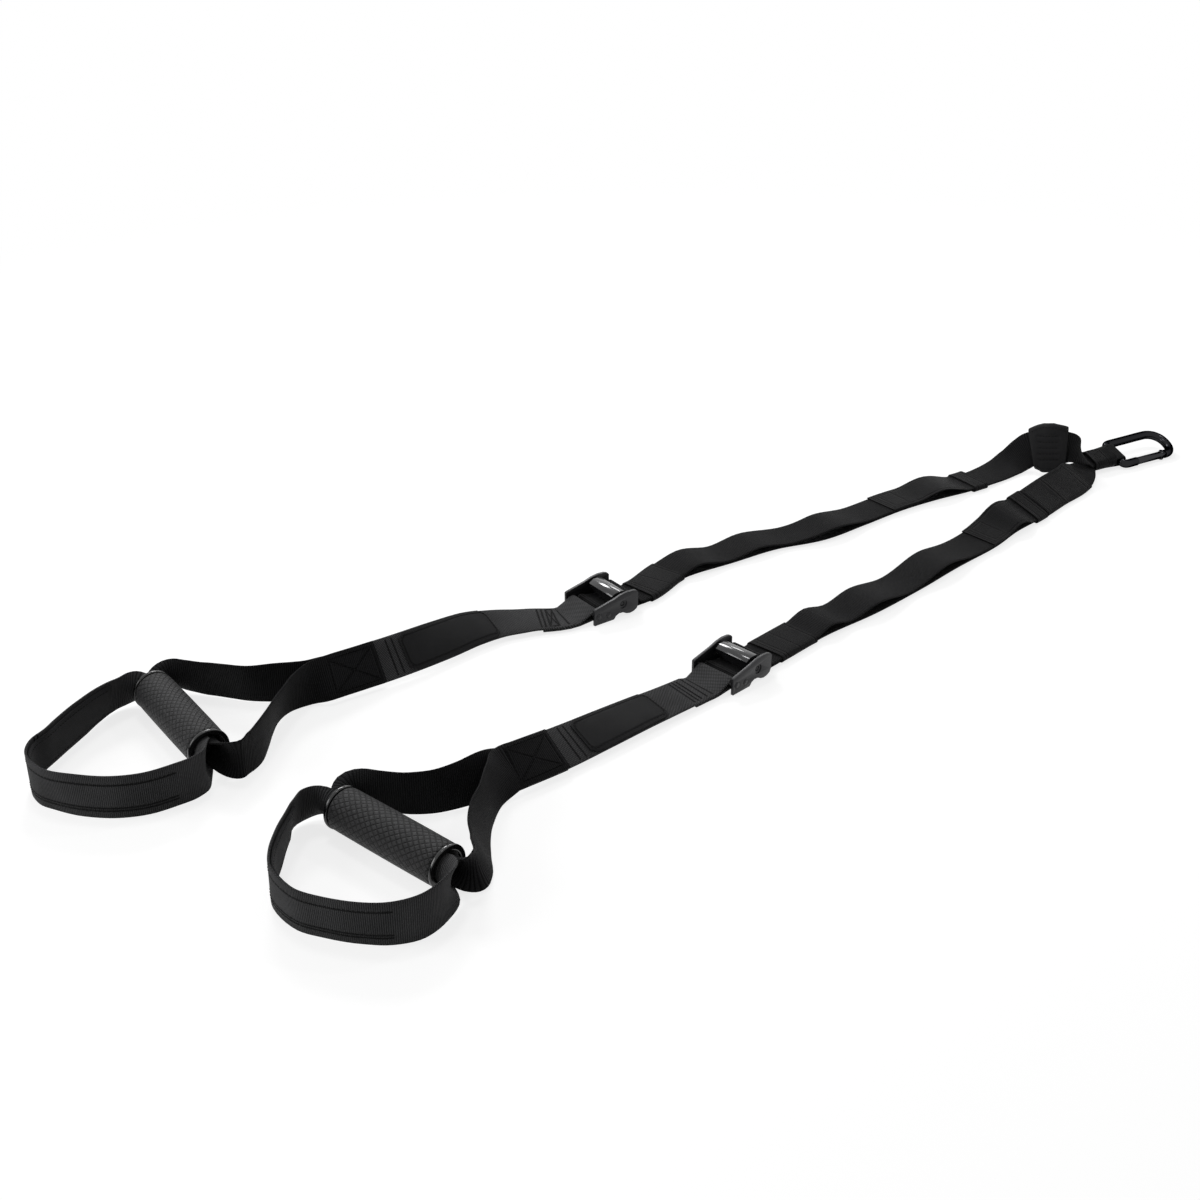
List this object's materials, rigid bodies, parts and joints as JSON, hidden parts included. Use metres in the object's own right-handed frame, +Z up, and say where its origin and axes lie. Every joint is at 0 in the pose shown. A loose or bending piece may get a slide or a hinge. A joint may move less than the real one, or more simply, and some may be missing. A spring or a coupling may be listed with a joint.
{
  "type": "suspension trainer",
  "caption": "Suspension trainer laid out flat: webbing arms from a snap hook, with cam buckles, padded foot loops and rubber grips.",
  "frame": {"origin": "on the floor under the middle of the whole, as it lies", "axes": "+Z up from the floor, +X between the arms towards the snap hook, +Y towards the far arm"},
  "size_m": [1.2732, 0.4114, 0.0571],
  "materials": {
    "black_core_plastic": "black moulded plastic",
    "black_cover_cloth": "smooth black cover cloth",
    "black_gloss_lever": "gloss black paint, worn bright at the lip",
    "black_hook_enamel": "gloss black enamel",
    "black_painted_steel": "black powder coat, satin",
    "black_patch_cloth": "smooth black patch cloth",
    "black_quilted_pad": "quilted black cloth",
    "black_webbing": "woven black webbing, matt",
    "charcoal_rubber": "charcoal knurled rubber",
    "dark_gate_metal": "dark grey finish",
    "gloss_cap_plastic": "gloss black moulded plastic",
    "plain_steel": "plain steel"
  },
  "bodies": {
    "anchor": {"anchor_loop": "black_webbing", "anchor_tab": "black_cover_cloth", "wear_pad": "black_quilted_pad", "near_top_band": "black_cover_cloth", "near_main_strap": "black_webbing", "far_main_strap": "black_webbing"},
    "snap_hook": {"hook_body": "black_hook_enamel", "gate_pin": "plain_steel"},
    "gate": {"hook_gate": "dark_gate_metal", "gate_plunger": "plain_steel", "gate_spring": "plain_steel"},
    "near_buckle": {"near_buckle_frame": "black_painted_steel", "near_fixed_bar": "plain_steel", "near_turn_bar": "plain_steel", "near_cam_pin": "plain_steel", "near_cam_spring": "plain_steel", "near_keeper": "black_cover_cloth", "near_tail_strap": "black_webbing"},
    "near_lever": {"near_cam_lever": "black_gloss_lever"},
    "near_tail_end": {"near_pull_loop": "black_cover_cloth", "near_tail_slider": "black_cover_cloth"},
    "near_label_arm": {"near_label_strap": "black_webbing", "near_label_patch": "black_patch_cloth", "near_triangle_strap": "black_webbing"},
    "near_grip": {"near_grip_core": "black_core_plastic", "near_grip_sleeve": "charcoal_rubber", "near_grip_cap_outer": "gloss_cap_plastic", "near_grip_cap_inner": "gloss_cap_plastic"},
    "near_foot": {"near_foot_loop": "black_webbing", "near_foot_pad": "black_patch_cloth"},
    "far_buckle": {"far_buckle_frame": "black_painted_steel", "far_fixed_bar": "plain_steel", "far_turn_bar": "plain_steel", "far_cam_pin": "plain_steel", "far_cam_spring": "plain_steel", "far_keeper": "black_cover_cloth", "far_tail_strap": "black_webbing"},
    "far_lever": {"far_cam_lever": "black_gloss_lever"},
    "far_tail_end": {"far_pull_loop": "black_cover_cloth", "far_tail_slider": "black_cover_cloth"},
    "far_label_arm": {"far_label_strap": "black_webbing", "far_label_patch": "black_patch_cloth", "far_triangle_strap": "black_webbing"},
    "far_grip": {"far_grip_core": "black_core_plastic", "far_grip_sleeve": "charcoal_rubber", "far_grip_cap_outer": "gloss_cap_plastic", "far_grip_cap_inner": "gloss_cap_plastic"},
    "far_foot": {"far_foot_loop": "black_webbing", "far_foot_pad": "black_patch_cloth"}
  },
  "joints": [
    {"name": "hook_swing", "type": "hinge", "parent": "anchor", "child": "snap_hook", "pos_m": [0.55722, -0.01101, 0.01077], "axis": [-0.1642, -0.9312, -0.3256], "range_deg": [0, 110]},
    {"name": "gate_open", "type": "hinge", "parent": "snap_hook", "child": "gate", "pos_m": [0.60957, -0.0368, 0.00515], "axis": [0.0565, 0.3206, -0.9455], "range_deg": [0, 27], "stiffness_Nm_per_rad": 0.06, "springref_deg": -14.32},
    {"name": "near_length", "type": "slide", "parent": "anchor", "child": "near_buckle", "axis": [-0.9956, -0.0941, 0], "range_m": [0, 0.16], "deforming": ["near_main_strap"]},
    {"name": "near_tail_slide", "type": "slide", "parent": "near_buckle", "child": "near_tail_end", "axis": [-0.9956, -0.0941, 0], "range_m": [0, 0.16], "deforming": ["near_tail_strap", "near_main_strap"]},
    {"name": "near_cam_release", "type": "hinge", "parent": "near_buckle", "child": "near_lever", "pos_m": [-0.08492, -0.07871, 0.0128], "axis": [0.0995, -0.995, 0], "range_deg": [0, 32], "stiffness_Nm_per_rad": 0.12, "springref_deg": -17.19},
    {"name": "near_arm_lift", "type": "hinge", "parent": "near_buckle", "child": "near_label_arm", "pos_m": [-0.11208, -0.08142, 0.00805], "axis": [-0.0995, 0.995, 0], "range_deg": [0, 80]},
    {"name": "near_grip_spin", "type": "hinge", "parent": "near_label_arm", "child": "near_grip", "pos_m": [-0.46312, -0.11536, 0.0193], "axis": [0.1702, -0.9854, 0], "continuous": true},
    {"name": "near_foot_swing", "type": "hinge", "parent": "near_label_arm", "child": "near_foot", "pos_m": [-0.46312, -0.11536, 0.0193], "axis": [0.1702, -0.9854, 0], "range_deg": [-30, 35], "deforming": ["near_foot_loop", "near_triangle_strap"]},
    {"name": "far_length", "type": "slide", "parent": "anchor", "child": "far_buckle", "axis": [-0.998, 0.0628, 0], "range_m": [0, 0.16], "deforming": ["far_main_strap"]},
    {"name": "far_tail_slide", "type": "slide", "parent": "far_buckle", "child": "far_tail_end", "axis": [-0.998, 0.0628, 0], "range_m": [0, 0.16], "deforming": ["far_tail_strap", "far_main_strap"]},
    {"name": "far_cam_release", "type": "hinge", "parent": "far_buckle", "child": "far_lever", "pos_m": [-0.09479, 0.08609, 0.0128], "axis": [-0.045, -0.999, 0], "range_deg": [0, 32], "stiffness_Nm_per_rad": 0.12, "springref_deg": -17.19},
    {"name": "far_arm_lift", "type": "hinge", "parent": "far_buckle", "child": "far_label_arm", "pos_m": [-0.12206, 0.08732, 0.00805], "axis": [0.045, 0.999, 0], "range_deg": [0, 80]},
    {"name": "far_grip_spin", "type": "hinge", "parent": "far_label_arm", "child": "far_grip", "pos_m": [-0.50806, 0.12959, 0.0193], "axis": [-0.0663, -0.9978, 0], "continuous": true},
    {"name": "far_foot_swing", "type": "hinge", "parent": "far_label_arm", "child": "far_foot", "pos_m": [-0.50806, 0.12959, 0.0193], "axis": [-0.0663, -0.9978, 0], "range_deg": [-30, 35], "deforming": ["far_foot_loop", "far_triangle_strap"]}
  ],
  "couplings": [
    {"joint": "near_tail_slide", "follows": "near_length", "ratio": 1},
    {"joint": "far_tail_slide", "follows": "far_length", "ratio": 1}
  ]
}
